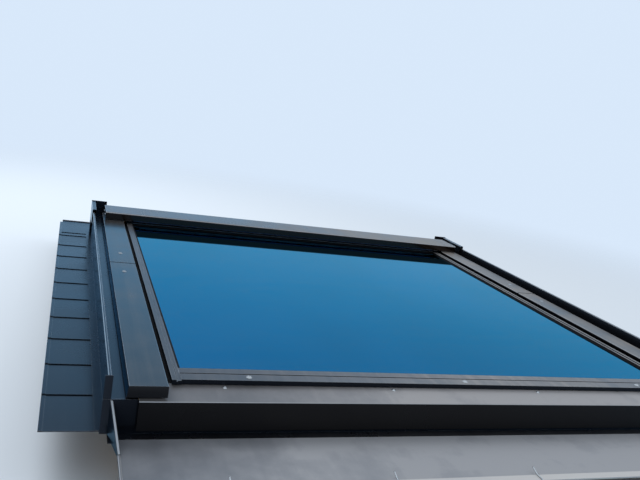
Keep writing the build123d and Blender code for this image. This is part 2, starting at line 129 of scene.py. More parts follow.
class Graph:
    """The node tree of one material, with short ways to add nodes and join them."""

    def __init__(self, name: str) -> None:
        """Starts a material with its usual shader.

        Args:
            name: The material's name.
        """
        self.material = bpy.data.materials.new(name)
        self.material.use_nodes = True
        self.tree = self.material.node_tree
        self.shader = self.tree.nodes["Principled BSDF"]
        self.output = self.tree.nodes["Material Output"]
        self.place = self.node("ShaderNodeTexCoord").outputs["Object"]

    def node(self, kind: str, inputs: dict[str | int, Value] | None = None,
             **settings: object) -> bpy.types.Node:
        """Adds a node, and sets or joins its inputs.

        Args:
            kind: Blender's name for the node type.
            inputs: A value or an output socket for each input.
            **settings: Other properties of the node.

        Returns:
            The new node.
        """
        added = self.tree.nodes.new(kind)
        for name, value in settings.items():
            setattr(added, name, value)
        self.set(added, inputs or {})
        return added

    def set(self, node: bpy.types.Node, inputs: dict[str | int, Value]) -> None:
        """Sets or joins inputs of a node.

        Args:
            node: The node.
            inputs: A value or an output socket for each input.
        """
        for name, value in inputs.items():
            if isinstance(value, Socket):
                self.tree.links.new(value, node.inputs[name])
            elif isinstance(value, tuple) and len(value) == 3 and node.inputs[name].type == "RGBA":
                node.inputs[name].default_value = (*value, 1.0)
            else:
                node.inputs[name].default_value = value

    def stretched(self, scale: Place, turn: float = 0.0) -> Socket:
        """Object coordinates turned about Z and then scaled.

        Args:
            scale: How many pattern units a metre holds on each axis.
            turn: The turn about Z, in radians.

        Returns:
            The socket with the coordinates.
        """
        turned = self.node("ShaderNodeMapping", {"Vector": self.place, "Rotation": (0.0, 0.0, turn)})
        return self.node("ShaderNodeMapping", {"Vector": turned.outputs[0], "Scale": scale}).outputs[0]

    def noise(self, where: Socket, scale: float, detail: float = 3.0, roughness: float = 0.5) -> Socket:
        """Cloudy noise of 0 to 1.

        Args:
            where: The coordinates.
            scale: How fine the noise is.
            detail: How many finer layers it has.
            roughness: How strong the finer layers are.

        Returns:
            The socket with the noise.
        """
        return self.node("ShaderNodeTexNoise", {"Vector": where, "Scale": scale, "Detail": detail,
                                                "Roughness": roughness}).outputs["Fac"]

    def ramp(self, value: Socket, low: float, high: float, to_low: float = 0.0,
             to_high: float = 1.0) -> Socket:
        """Maps a range onto another with a smooth step.

        Args:
            value: The socket to map.
            low: Where the step starts.
            high: Where the step ends.
            to_low: The result below the step.
            to_high: The result above the step.

        Returns:
            The socket with the result.
        """
        mapped = self.node("ShaderNodeMapRange", {"Value": value, "From Min": low, "From Max": high,
                                                  "To Min": to_low, "To Max": to_high})
        mapped.interpolation_type = "SMOOTHSTEP"
        return mapped.outputs["Result"]

    def math(self, operation: str, first: Value, second: Value = 0.0) -> Socket:
        """One sum of two values, such as MULTIPLY or ADD."""
        return self.node("ShaderNodeMath", {0: first, 1: second}, operation=operation).outputs[0]

    def product(self, first: Value, *others: Value) -> Socket:
        """Multiplies values one after another.

        Args:
            first: The first value.
            *others: What it is multiplied by.

        Returns:
            The socket with the product.
        """
        for other in others:
            first = self.math("MULTIPLY", first, other)
        return first

    def axis(self, vector: Socket, name: str) -> Socket:
        """The X, Y or Z of a vector."""
        return self.node("ShaderNodeSeparateXYZ", {0: vector}).outputs[name]

    def blend(self, share: Value, first: Value, second: Value) -> Socket:
        """Mixes two colours. Blender numbers the node's colour inputs 6 and 7 and its colour output 2.

        Args:
            share: How much of the second colour shows.
            first: The first colour.
            second: The second colour.

        Returns:
            The socket with the mixed colour.
        """
        return self.node("ShaderNodeMix", {0: share, 6: first, 7: second}, data_type="RGBA").outputs[2]

    def bump(self, heights: list[tuple[Socket, float]]) -> None:
        """Gives the shader a bumpy normal.

        Args:
            heights: Pairs of a height socket and the real height in metres that its 0 to 1 stands for.
        """
        normal = None
        for height, metres in heights:
            inputs = {"Height": height, "Distance": metres, "Strength": 1.0}
            if normal is not None:
                inputs["Normal"] = normal
            normal = self.node("ShaderNodeBump", inputs).outputs["Normal"]
        self.set(self.shader, {"Normal": normal})

    def let_light_through(self, tint: Colour) -> None:
        """Lets lamps shine through the surface.

        Args:
            tint: The colour of the light that comes through.
        """
        clear = self.node("ShaderNodeBsdfTransparent", {"Color": tint})
        shadow = self.node("ShaderNodeLightPath").outputs["Is Shadow Ray"]
        self.share_surface(shadow, clear.outputs[0])

    def share_surface(self, share: Socket, other: Socket) -> None:
        """Shows another shader in place of the usual one.

        Args:
            share: How much of the other shader shows.
            other: The other shader.
        """
        mix = self.node("ShaderNodeMixShader", {0: share, 1: self.shader.outputs[0], 2: other})
        self.set(self.output, {"Surface": mix.outputs[0]})


class Finish(ABC):
    """A finish that makes its own material once."""

    name: str

    @abstractmethod
    def fill(self, graph: Graph) -> None:
        """Fills the node tree.

        Args:
            graph: The empty material.
        """

    def material(self) -> bpy.types.Material:
        """The finish's material, made the first time that it is asked for.

        Returns:
            The material.
        """
        known = bpy.data.materials.get(self.name)
        if known is not None:
            return known
        graph = Graph(self.name)
        self.fill(graph)
        return graph.material


@dataclass(frozen=True)
class CoatedSheet(Finish):
    """Coil-coated aluminium in a dark flake paint, with a pale film of dust and painted sky light on what
    faces the sky.

    Attributes:
        name: The material's name.
        paint: The clean paint's colour.
        dust: The colour of the pale film, which is dust and also painted sky light on the tops.
        film: How much of the pale film, dust and painted sky light, shows on a face that looks straight out
            of the roof.
        sheen_drift: How much thicker the pale film is at the right than at the left, a painted sheen that
            lightens the right side.
        sheen_span: Where across the roof that painted sheen starts to thicken the film, and where it stops.
        edge: The tint of what the paint mirrors at a shallow angle, blue as a painted reflection of sky.
        flake: The share of the paint that acts as a metal.
        rubbed_and_highlight: The light colour on folds and on edges that look out of the roof, which is
            rubbed paint and painted highlight together.
        wear_and_highlight_reach: How far that light colour reaches from an edge, in metres.
        gloss: The clean paint's roughness.
        waviness: Height of the slow waves in the sheet, in metres.
        streaks: How much the rain's streaks thin the film.
        cloud_scale: How fine the clouds in the dust are.
        streak_scale: How fine the streaks are on each axis.
        wave_scale: How fine the slow waves are on each axis.
        grain_scale: How fine the paint's grain is.
        grain_height: Height of the grain, in metres.
    """

    name: str
    paint: Colour
    dust: Colour
    film: float
    sheen_drift: float = 0.6
    sheen_span: tuple[float, float] = (-0.6, 0.0)
    edge: Colour = (0.5, 0.78, 1.0)
    flake: float = 0.75
    rubbed_and_highlight: Colour = linear(184, 186, 188)
    wear_and_highlight_reach: float = 0.0012
    gloss: float = 0.25
    waviness: float = 0.0006
    streaks: float = 0.15
    cloud_scale: float = 7.0
    streak_scale: Place = (70.0, 2.2, 70.0)
    wave_scale: Place = (3.0, 2.0, 3.0)
    grain_scale: float = 1400.0
    grain_height: float = 0.000004

    def fill(self, graph: Graph) -> None:
        """Mixes paint with a pale film of dust and painted sky light by where a face looks, and lightens
        folds and edges as rubbed paint and painted highlight.

        Args:
            graph: The empty material.
        """
        clouds = graph.noise(graph.place, self.cloud_scale, 6.0, 0.62)
        grains = graph.noise(graph.place, self.grain_scale, 1.0)
        normal = graph.node("ShaderNodeNewGeometry").outputs["Normal"]
        # The pale film stands for dust and for painted sky light on the tops.
        dust_and_painted_toplight = self.dust_and_painted_toplight(graph, clouds, normal)
        flecks = tuple(min(1.0, 1.18 * channel) for channel in self.paint)
        tone = graph.blend(graph.ramp(grains, 0.3, 0.7), self.paint, flecks)
        colour = self.mark(graph, graph.blend(dust_and_painted_toplight, tone, self.dust))
        clean = graph.ramp(clouds, 0.3, 0.8, self.gloss - 0.03, self.gloss + 0.05)
        graph.set(graph.shader, {
            # Painted highlight as well as wear: folds and outward edges take a light colour.
            "Base Color": graph.blend(self.rubbing_and_highlight(graph, clouds, normal), colour, self.rubbed_and_highlight),
            "Metallic": graph.math("SUBTRACT", self.flake, graph.product(dust_and_painted_toplight, self.flake)),
            "Roughness": graph.math("ADD", graph.product(dust_and_painted_toplight, 0.3), clean),
            "Specular IOR Level": 0.3,
            # Painted reflection: the blue tint makes the pale backdrop mirror as blue sky.
            "Specular Tint": self.edge,
        })
        slow = graph.noise(graph.stretched(self.wave_scale), 1.0, 1.0)
        graph.bump([(slow, self.waviness), (grains, self.grain_height)])

    def dust_and_painted_toplight(self, graph: Graph, clouds: Socket, normal: Socket) -> Socket:
        """The share of the pale film: dust and painted sky light on what faces the sky, made thicker towards
        the right as a painted sheen, and thinned by rain.

        Args:
            graph: The material.
            clouds: The clouds in the dust.
            normal: The way that a face looks.

        Returns:
            The socket with the share.
        """
        streaks = graph.noise(graph.stretched(self.streak_scale), 1.0, 4.0, 0.6)
        washed = graph.ramp(streaks, 0.35, 0.72, 1.0 - self.streaks, 1.0 + self.streaks / 2)
        patches = graph.product(graph.ramp(clouds, 0.3, 0.75, 0.75, 1.15), washed)
        # Painted sheen: the film thickens towards the right, which lightens that side.
        share = graph.ramp(graph.axis(graph.place, "X"), *self.sheen_span, 1.0 - self.sheen_drift, 1.0 + self.sheen_drift)
        film = graph.math("MINIMUM", graph.product(patches, share, self.film), 1.0)
        # Painted sky light as well as dust: faces that look out of the roof take the pale film.
        return graph.product(graph.ramp(graph.axis(normal, "Z"), 0.25, 0.95), film)

    def rubbing_and_highlight(self, graph: Graph, clouds: Socket, normal: Socket) -> Socket:
        """The share of the light colour on slanting folds and on edges that look out of the roof: rubbed
        paint, and a painted highlight where those bends catch the light.

        With z as the Z of the way that a face looks, it slants by 4 z squared less 4 z to the fourth.

        Args:
            graph: The material.
            clouds: What varies the rubbed paint and painted highlight.
            normal: The way that a face looks.

        Returns:
            The socket with the share.
        """
        height = graph.axis(normal, "Z")
        square = graph.product(height, height)
        slanting = graph.product(square, graph.math("SUBTRACT", 4.0, graph.product(square, 4.0)))
        rounded = graph.node("ShaderNodeBevel", {"Radius": self.wear_and_highlight_reach}, samples=6).outputs["Normal"]
        turned = graph.node("ShaderNodeVectorMath", {0: rounded, 1: normal}, operation="DOT_PRODUCT")
        lifted = graph.ramp(graph.axis(rounded, "Z"), 0.15, 0.6)
        edges = graph.product(graph.ramp(turned.outputs["Value"], 0.78, 0.99, 1.0, 0.0), lifted)
        # Painted highlight and wear: slanting folds and edges that look out of the roof are lightened.
        worn_and_lit = graph.math("MAXIMUM", graph.ramp(slanting, 0.3, 1.0), edges)
        return graph.product(worn_and_lit, graph.ramp(clouds, 0.25, 0.6, 0.45, 0.8))

    def mark(self, graph: Graph, colour: Socket) -> Socket:
        """Leaves the colour as it is."""
        return colour


@dataclass(frozen=True)
class ApronSheet(CoatedSheet):
    """Coated sheet whose hem shows the light reverse of the metal.

    Attributes:
        hem: The hem's colour.
        hem_line: How far up the slope the hem reaches.
        hem_blur: How far its edge is blurred to each side.
    """

    hem: Colour = linear(196, 198, 200)
    hem_line: float = -0.7352
    hem_blur: float = 0.0004

    def mark(self, graph: Graph, colour: Socket) -> Socket:
        """Colours what lies below the hem's line.

        Args:
            graph: The material.
            colour: The colour of the sheet.

        Returns:
            The socket with the colour of the sheet and its hem.
        """
        start, end = self.hem_line - self.hem_blur, self.hem_line + self.hem_blur
        below = graph.ramp(graph.axis(graph.place, "Y"), start, end, 0.75, 0.0)
        return graph.blend(below, colour, self.hem)


@dataclass(frozen=True)
class LacqueredPine(Finish):
    """Clear-lacquered pine, sawn so that the year rings show as long arches.

    Attributes:
        name: The material's name.
        grain: The way the member runs.
        early: The colour of the wood grown in spring.
        late: The colour of the narrow summer rings.
        knot: The colour of the knots.
        ring_scale: How close the rings are.
        knot_scale: How close the knots are on each axis.
        fibre_scale: How fine the fibres are on each axis.
        ring_height: Height of the late rings, in metres.
        fibre_height: Height of the fibres, in metres.
    """

    name: str
    grain: Grain
    early: Colour = linear(222, 184, 132)
    late: Colour = linear(190, 134, 78)
    knot: Colour = linear(112, 66, 34)
    ring_scale: float = 3.4
    knot_scale: Place = (2.6, 5.5, 5.5)
    fibre_scale: Place = (14.0, 900.0, 900.0)
    ring_height: float = 0.00005
    fibre_height: float = 0.00003

    def fill(self, graph: Graph) -> None:
        """Draws rings round a pith that runs beside the member, bent by slow noise and by the knots.

        Args:
            graph: The empty material.
        """
        turn = self.grain.value
        along = graph.stretched((0.9, 9.0, 9.0), turn)
        sway = graph.node("ShaderNodeTexNoise", {"Vector": along, "Scale": 1.3, "Detail": 2.0})
        bent = graph.node("ShaderNodeVectorMath", {0: along, 1: sway.outputs["Color"]}, operation="ADD")
        where = graph.stretched(self.knot_scale, turn)
        spots = graph.node("ShaderNodeTexVoronoi", {"Vector": where, "Scale": 1.0})
        knots = graph.ramp(spots.outputs["Distance"], 0.05, 0.13, 1.0, 0.0)
        rings = graph.node("ShaderNodeTexWave", {
            "Vector": bent.outputs[0], "Scale": self.ring_scale, "Distortion": graph.product(knots, 5.0),
            "Detail": 1.5, "Detail Scale": 1.0,
        }, wave_type="RINGS", rings_direction="X", wave_profile="SAW")
        fibres = graph.noise(graph.stretched(self.fibre_scale, turn), 1.0, 2.0)
        late = graph.ramp(rings.outputs["Fac"], 0.45, 0.98)
        wood = graph.blend(graph.product(late, 0.8), self.early, self.late)
        wood = graph.blend(graph.ramp(fibres, 0.35, 0.75, 0.0, 0.3), wood, self.late)
        slow = graph.noise(graph.stretched((1.5, 3.0, 3.0), turn), 1.0, 2.0)
        wood = graph.blend(graph.ramp(slow, 0.3, 0.7, 0.0, 0.22), wood, self.late)
        graph.set(graph.shader, {
            "Base Color": graph.blend(knots, wood, self.knot),
            "Roughness": graph.ramp(late, 0.0, 1.0, 0.44, 0.34),
            "Coat Weight": 0.3,
            "Coat Roughness": 0.18,
        })
        graph.bump([(late, self.ring_height), (fibres, self.fibre_height)])


@dataclass(frozen=True)
class MirrorCoatedGlass(Finish):
    """Sun-protection glass, whose thin metal coating holds back most of the light and whose blue tint is a
    painted reflection of blue sky.

    Attributes:
        name: The material's name.
        tint: The coating's colour seen straight on, a painted blue sky reflection.
        edge: Its colour seen at a shallow angle, also a painted blue sky reflection.
        mirror: The share of the coating that acts as a metal.
        roller_scale: How close the rollers' waves are on each axis.
        roller_height: Height of those waves, in metres.
    """

    name: str
    tint: Colour
    edge: Colour
    mirror: float
    roller_scale: Place = (0.6, 3.2, 1.0)
    roller_height: float = 0.0004

    def fill(self, graph: Graph) -> None:
        """Sets a smooth part-metal glass with a few dried drops and a trace of dust.

        Args:
            graph: The empty material.
        """
        drops = graph.noise(graph.place, 60.0, 5.0, 0.7)
        film = graph.noise(graph.stretched((26.0, 1.8, 26.0)), 1.0, 5.0, 0.6)
        smudge = graph.product(graph.ramp(drops, 0.5, 0.8), graph.ramp(film, 0.4, 0.75))
        # Painted reflection: slow patches darken the blue, standing for the varied sky that the glass
        # mirrors.
        cells = graph.noise(graph.stretched((1.0, 0.6, 1.0)), 2.2, 2.0)
        darker_sky_reflection = tuple(0.8 * channel for channel in self.tint)
        graph.set(graph.shader, {
            "Base Color": graph.blend(graph.ramp(cells, 0.3, 0.7), self.tint, darker_sky_reflection),
            "Metallic": self.mirror,
            "Specular Tint": self.edge,
            "Roughness": graph.ramp(smudge, 0.0, 1.0, 0.015, 0.12),
            "IOR": GLASS_IOR,
            "Transmission Weight": 1.0,
        })
        roller = graph.noise(graph.stretched(self.roller_scale), 1.0, 0.0)
        graph.bump([(roller, self.roller_height)])
        graph.let_light_through(tuple(0.75 * np.sqrt(channel) for channel in self.tint))


@dataclass(frozen=True)
class ClearGlass(Finish):
    """Plain float glass with its slight green.

    Attributes:
        name: The material's name.
        tint: The colour of what shows through it.
    """

    name: str
    tint: Colour

    def fill(self, graph: Graph) -> None:
        """Sets a clean smooth glass.

        Args:
            graph: The empty material.
        """
        haze = graph.noise(graph.place, 30.0, 4.0)
        graph.set(graph.shader, {
            "Base Color": self.tint,
            "Roughness": graph.ramp(haze, 0.4, 0.8, 0.0, 0.03),
            "IOR": GLASS_IOR,
            "Transmission Weight": 1.0,
        })
        graph.let_light_through(self.tint)


@dataclass(frozen=True)
class SealRubber(Finish):
    """Black profile rubber with a faint bloom and a fine grain.

    Attributes:
        name: The material's name.
        colour: The rubber's colour.
        bloom: Its colour where it has bloomed.
        grain_height: Height of the grain, in metres.
    """

    name: str = "seal_rubber"
    colour: Colour = linear(14, 14, 15)
    bloom: Colour = linear(34, 34, 35)
    grain_height: float = 0.00002

    def fill(self, graph: Graph) -> None:
        """Varies a dull black a little, with a fine grain.

        Args:
            graph: The empty material.
        """
        bloom = graph.noise(graph.place, 22.0, 4.0, 0.6)
        grain = graph.noise(graph.place, 1600.0, 1.0)
        graph.set(graph.shader, {
            "Base Color": graph.blend(graph.ramp(bloom, 0.4, 0.8, 0.0, 0.5), self.colour, self.bloom),
            "Roughness": graph.ramp(bloom, 0.3, 0.8, 0.6, 0.8),
            "Specular IOR Level": 0.08,
        })
        graph.bump([(grain, self.grain_height)])


@dataclass(frozen=True)
class SpacerBar(Finish):
    """The dark bar between the panes, with a close row of small ribs.

    Attributes:
        name: The material's name.
        colour: The bar's colour.
        raised: The colour of its ribs.
        rib_scale: How close the ribs are.
        rib_height: Height of the ribs, in metres.
    """

    name: str = "spacer_bar"
    colour: Colour = linear(38, 39, 40)
    raised: Colour = linear(70, 71, 72)
    rib_scale: float = 160.0
    rib_height: float = 0.0001

    def fill(self, graph: Graph) -> None:
        """Draws ribs across both directions and dulls them.

        Args:
            graph: The empty material.
        """
        across, up = (graph.node("ShaderNodeTexWave", {"Vector": graph.place, "Scale": self.rib_scale},
                                 wave_type="BANDS", bands_direction=direction) for direction in "XY")
        ribs = graph.product(across.outputs["Fac"], up.outputs["Fac"])
        graph.set(graph.shader, {
            "Base Color": graph.blend(graph.ramp(ribs, 0.2, 0.8, 0.0, 0.5), self.colour, self.raised),
            "Roughness": 0.5,
        })
        graph.bump([(ribs, self.rib_height)])


@dataclass(frozen=True)
class BareMetal(Finish):
    """Bare metal with drawn lines or crystals.

    Attributes:
        name: The material's name.
        colour: The metal's colour.
        roughness: How dull it is.
        lines: How many drawn lines a metre of width holds, or 0 for none.
        crystals: How many crystals a metre holds, or 0 for none.
        mark_height: Height of the lines or crystals, in metres.
    """

    name: str
    colour: Colour
    roughness: float
    lines: float = 0.0
    crystals: float = 0.0
    mark_height: float = 0.00001

    def fill(self, graph: Graph) -> None:
        """Varies colour and roughness by crystals and drawn lines.

        Args:
            graph: The empty material.
        """
        dull = graph.noise(graph.place, 40.0, 5.0, 0.6)
        tone = dull
        if self.crystals:
            cells = graph.node("ShaderNodeTexVoronoi", {"Vector": graph.place, "Scale": self.crystals})
            tone = graph.node("ShaderNodeSeparateColor", {0: cells.outputs["Color"]}).outputs[0]
        darker = tuple(0.78 * channel for channel in self.colour)
        graph.set(graph.shader, {
            "Base Color": graph.blend(tone, self.colour, darker),
            "Metallic": 1.0,
            "Roughness": graph.ramp(dull, 0.3, 0.8, self.roughness, self.roughness + 0.14),
        })
        marks = tone
        if self.lines:
            marks = graph.noise(graph.stretched((4.0, self.lines, self.lines)), 1.0, 2.0)
        graph.bump([(marks, self.mark_height)])


@dataclass(frozen=True)
class MouldedPlastic(Finish):
    """Moulded plastic with a fine spark-eroded grain.

    Attributes:
        name: The material's name.
        colour: The plastic's colour.
        grain_height: Height of the grain, in metres.
    """

    name: str
    colour: Colour
    grain_height: float = 0.00002

    def fill(self, graph: Graph) -> None:
        """Varies the roughness a little over a fine grain.

        Args:
            graph: The empty material.
        """
        slow = graph.noise(graph.place, 25.0, 3.0)
        grain = graph.noise(graph.place, 1800.0, 2.0)
        lighter = tuple(min(1.0, 1.25 * channel) for channel in self.colour)
        graph.set(graph.shader, {
            "Base Color": graph.blend(graph.ramp(slow, 0.35, 0.75, 0.0, 0.6), self.colour, lighter),
            "Roughness": graph.ramp(slow, 0.3, 0.8, 0.42, 0.55),
        })
        graph.bump([(grain, self.grain_height)])


# In the sheets below, the pale film is dust and painted sky light, its thickening to the right is a painted
# sheen, the blue tint at a shallow angle is a painted sky reflection, and the light folds and edges are worn
# paint and painted highlight.
PAINT = linear(34, 36, 42)
DUST = linear(138, 138, 140)
COVER_SHEET = CoatedSheet("cover_sheet", linear(50, 50, 52), linear(128, 124, 121), 0.575, sheen_drift=0.5,
                          edge=(0.4, 0.74, 1.0), flake=0.95, gloss=0.15, wear_and_highlight_reach=0.0007)
HOOD_SHEET = CoatedSheet("hood_sheet", linear(56, 46, 41), linear(126, 122, 118), 0.6, sheen_drift=0.36,
                         sheen_span=(-0.3, 0.4), edge=(0.46, 0.76, 1.0), flake=0.86, gloss=0.15)
SASH_SHEET = CoatedSheet("sash_sheet", PAINT, DUST, 0.55, sheen_drift=0.5)
LOWER_SHEET = CoatedSheet("lower_cover_sheet", linear(40, 38, 38), linear(152, 153, 157), 0.8, sheen_drift=0.46,
                          streaks=0.05)
FLASHING_SHEET = CoatedSheet("flashing_sheet", linear(36, 39, 46), DUST, 0.12, wear_and_highlight_reach=0.0005)
APRON_SHEET = ApronSheet("apron_sheet", linear(48, 53, 62), linear(150, 154, 161), 0.85, sheen_drift=0.34,
                         sheen_span=(-0.62, -0.25), gloss=0.36, waviness=0.0012, streaks=0.04)
# The outer glass's blue is a painted reflection of blue sky.
OUTER_GLASS = MirrorCoatedGlass("outer_glass", (0.04, 0.13, 0.31), (0.33, 0.82, 1.0), 0.87)
INNER_GLASS = ClearGlass("inner_glass", linear(226, 238, 232))
PINE_ALONG_EAVES = LacqueredPine("pine_along_eaves", Grain.ALONG_EAVES)
PINE_UP_SLOPE = LacqueredPine("pine_up_slope", Grain.UP_SLOPE)
RUBBER = SealRubber()
SPACER = SpacerBar()
ANODISED = BareMetal("anodised_aluminium", linear(208, 209, 210), 0.28, lines=1400.0)
ZINC = BareMetal("zinc_plate", linear(186, 188, 186), 0.34, crystals=260.0)
BRIGHT_STEEL = BareMetal("bright_steel", linear(214, 213, 210), 0.16, lines=2500.0)
DULL_STEEL = BareMetal("dull_steel", linear(186, 188, 191), 0.36)
BLACK_PLASTIC = MouldedPlastic("black_plastic", linear(44, 45, 47))
GREY_PLASTIC = MouldedPlastic("grey_plastic", linear(96, 98, 100))


# Shapes


@dataclass
class Shell:
    """A closed surface as arrays.

    Attributes:
        points: One row of X, Y and Z for each vertex.
        faces: One row of four vertex numbers for each face.
    """

    points: np.ndarray
    faces: np.ndarray

    def placed(self, position: Place, facing: Facing = Facing.OUT) -> Shell:
        """A copy whose own Z points the way that facing says.

        Args:
            position: Where the shell's own origin goes.
            facing: The way its Z axis points.

        Returns:
            The copy.
        """
        axis, across = (np.array(direction) for direction in facing.value)
        basis = np.stack([across, np.cross(axis, across), axis])
        return Shell(self.points @ basis + np.array(position), self.faces)

    @staticmethod
    def joined(shells: list[Shell]) -> Shell:
        """Puts several shells into one set of arrays.

        Args:
            shells: The shells.

        Returns:
            One shell that holds them all.
        """
        starts = np.cumsum([0] + [len(shell.points) for shell in shells[:-1]])
        faces = [shell.faces + start for shell, start in zip(shells, starts)]
        return Shell(np.concatenate([shell.points for shell in shells]), np.concatenate(faces))


def ring(segments: int) -> np.ndarray:
    """Angles that divide a full turn evenly, as one row."""
    return np.linspace(0.0, FULL_TURN, segments, endpoint=False)[None, :]


def grid(points: np.ndarray) -> Shell:
    """Joins a grid of points into quads, and its last column to its first.

    The quad at row i and column j has the corners (i, j), (i, j+1), (i+1, j+1) and (i+1, j).

    Args:
        points: An array of rows, columns and X, Y, Z.

    Returns:
        The shell.
    """
    rows, columns = points.shape[:2]
    first = np.arange(rows - 1)[:, None] * columns
    column = np.arange(columns)[None, :]
    below, beside = first + columns, (column + 1) % columns
    corners = [first + column, first + beside, below + beside, below + column]
    faces = np.stack(corners, axis=-1)
    return Shell(points.reshape(-1, 3), faces.reshape(-1, 4))


def smooth_step(value: np.ndarray) -> np.ndarray:
    """Goes from 0 to 1 as the value does, with level ends: 3 v squared less 2 v cubed."""
    clipped = np.clip(value, 0.0, 1.0)
    return clipped * clipped * (3.0 - 2.0 * clipped)


def revolved(outline: np.ndarray, segments: int) -> Shell:
    """Turns an outline round Z: the point at angle t is (r cos t, r sin t, z).

    Args:
        outline: Rows of radius and height, from the top of the axis to its bottom.
        segments: How many steps make the full turn.

    Returns:
        The shell.
    """
    angle = ring(segments)
    radius, height = outline[:, :1], np.broadcast_to(outline[:, 1:], (len(outline), segments))
    return grid(np.stack([radius * np.cos(angle), radius * np.sin(angle), height], axis=-1))


def piece(name: str, shell: Shell, finish: Finish) -> bpy.types.Object:
    """Makes a scene object from a shell, with closed poles and faces that point outwards.

    Args:
        name: The piece's name.
        shell: Its surface.
        finish: What it is made of.

    Returns:
        The object, which rides on the window.
    """
    mesh = bpy.data.meshes.new(name)
    mesh.from_pydata(shell.points.tolist(), [], shell.faces.tolist())
    work = bmesh.new()
    work.from_mesh(mesh)
    bmesh.ops.remove_doubles(work, verts=work.verts, dist=MERGE_DISTANCE)
    bmesh.ops.recalc_face_normals(work, faces=work.faces)
    work.to_mesh(mesh)
    work.free()
    mesh.polygons.foreach_set("use_smooth", np.full(len(mesh.polygons), True))
    mesh.materials.append(finish.material())
    made = bpy.data.objects.new(name, mesh)
    bpy.context.scene.collection.objects.link(made)
    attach(made, BODY)
    LOG.info("%s: %d faces", name, len(mesh.polygons))
    return made


def dress(nodes: dict[str, bpy.types.Object], names: list[str], finish: Finish) -> None:
    """Gives CAD nodes a finish.

    Args:
        nodes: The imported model's nodes.
        names: The nodes to dress.
        finish: What they are made of.
    """
    for name in names:
        materials = nodes[name].data.materials
        materials.clear()
        materials.append(finish.material())
        LOG.info("%s: %s", name, finish.name)


def sides(stem: str) -> list[str]:
    """The names of a pair of nodes."""
    return [f"{stem}_left", f"{stem}_right"]


# Small fasteners


@dataclass(frozen=True)
class PanScrew:
    """A pan-head screw with a cross drive, on a sealing washer.

    Attributes:
        head: Radius of the head.
        height: Height of the head above the washer.
        washer: Radius of the washer.
        seat: Thickness of the washer.
        slot: Width of the drive's slots.
        reach: How far the slots reach from the middle.
        depth: How deep they are.
        uncut: How far up the head they leave it whole.
        rounding: How far its edges are rounded.
    """

    head: float = 0.0042
    height: float = 0.0024
    washer: float = 0.0062
    seat: float = 0.0010
    slot: float = 0.0013
    reach: float = 0.0026
    depth: float = 0.0014
    uncut: float = 0.0004
    rounding: float = 0.0003

    def shell(self) -> Shell:
        """Builds the screw with its washer's underside at Z 0.

        The head is a superellipse, z = h (1 - (r/R)^4)^(1/2), less a drive whose depth falls off with a
        smooth step at the slots' edges.

        Returns:
            The screw's shell.
        """
        radius = np.concatenate([np.linspace(0.0, 0.9, 16), [0.96, 0.99, 1.0]]) * self.head
        height = self.seat + self.height * np.sqrt(np.maximum(0.0, 1.0 - (radius / self.head) ** 4))
        rim = np.array([
            [self.head, self.seat],
            [self.washer - self.rounding, self.seat],
            [self.washer, self.seat - self.rounding],
            [self.washer, 0.0],
            [0.0, 0.0],
        ])
        shell = revolved(np.concatenate([np.stack([radius, height], axis=1), rim]), SCREW_SEGMENTS)
        x, y, z = shell.points.T
        arm = np.maximum(smooth_step((self.slot / 2 - np.abs(x)) / self.rounding + 0.5),
                         smooth_step((self.slot / 2 - np.abs(y)) / self.rounding + 0.5))
        inside = smooth_step((self.reach - np.hypot(x, y)) / self.rounding)
        z -= self.depth * arm * inside * (z > self.seat + self.uncut)
        return Shell(np.stack([x, y, z], axis=1), shell.faces)

    def set_at(self, places: list[Place], facing: Facing = Facing.OUT) -> list[Shell]:
        """Copies of the screw at the places.

        Args:
            places: Where the washers' undersides sit.
            facing: The way the heads face.

        Returns:
            One shell for each place.
        """
        model = self.shell()
        return [model.placed(place, facing) for place in places]


# Sub-assemblies


@dataclass
class TimberWork:
    """The wooden frame and sash, with the hood's rail and the seal between frame and sash.

    Attributes:
        stems: What the names of the frame's and the sash's members start with.
    """

    stems: tuple[str, str] = ("frame", "sash")

    def build(self, nodes: dict[str, bpy.types.Object]) -> None:
        """Dresses the members with the grain along each.

        Args:
            nodes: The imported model's nodes.
        """
        for stem in self.stems:
            dress(nodes, [f"{stem}_top", f"{stem}_bottom"], PINE_ALONG_EAVES)
            dress(nodes, sides(stem), PINE_UP_SLOPE)
        dress(nodes, ["hood_rail"], PINE_ALONG_EAVES)
        dress(nodes, ["sash_seal"], RUBBER)


@dataclass
class Glazing:
    """The sealed unit and its gasket.

    Attributes:
        outer: The outer pane's finish.
        inner: The inner pane's finish.
    """

    outer: MirrorCoatedGlass = OUTER_GLASS
    inner: ClearGlass = INNER_GLASS

    def build(self, nodes: dict[str, bpy.types.Object]) -> None:
        """Dresses the panes, the bar between them and the gasket.

        Args:
            nodes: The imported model's nodes.
        """
        dress(nodes, ["outer_pane"], self.outer)
        dress(nodes, ["inner_pane"], self.inner)
        dress(nodes, ["glass_spacer"], SPACER)
        dress(nodes, ["pane_gasket"], RUBBER)


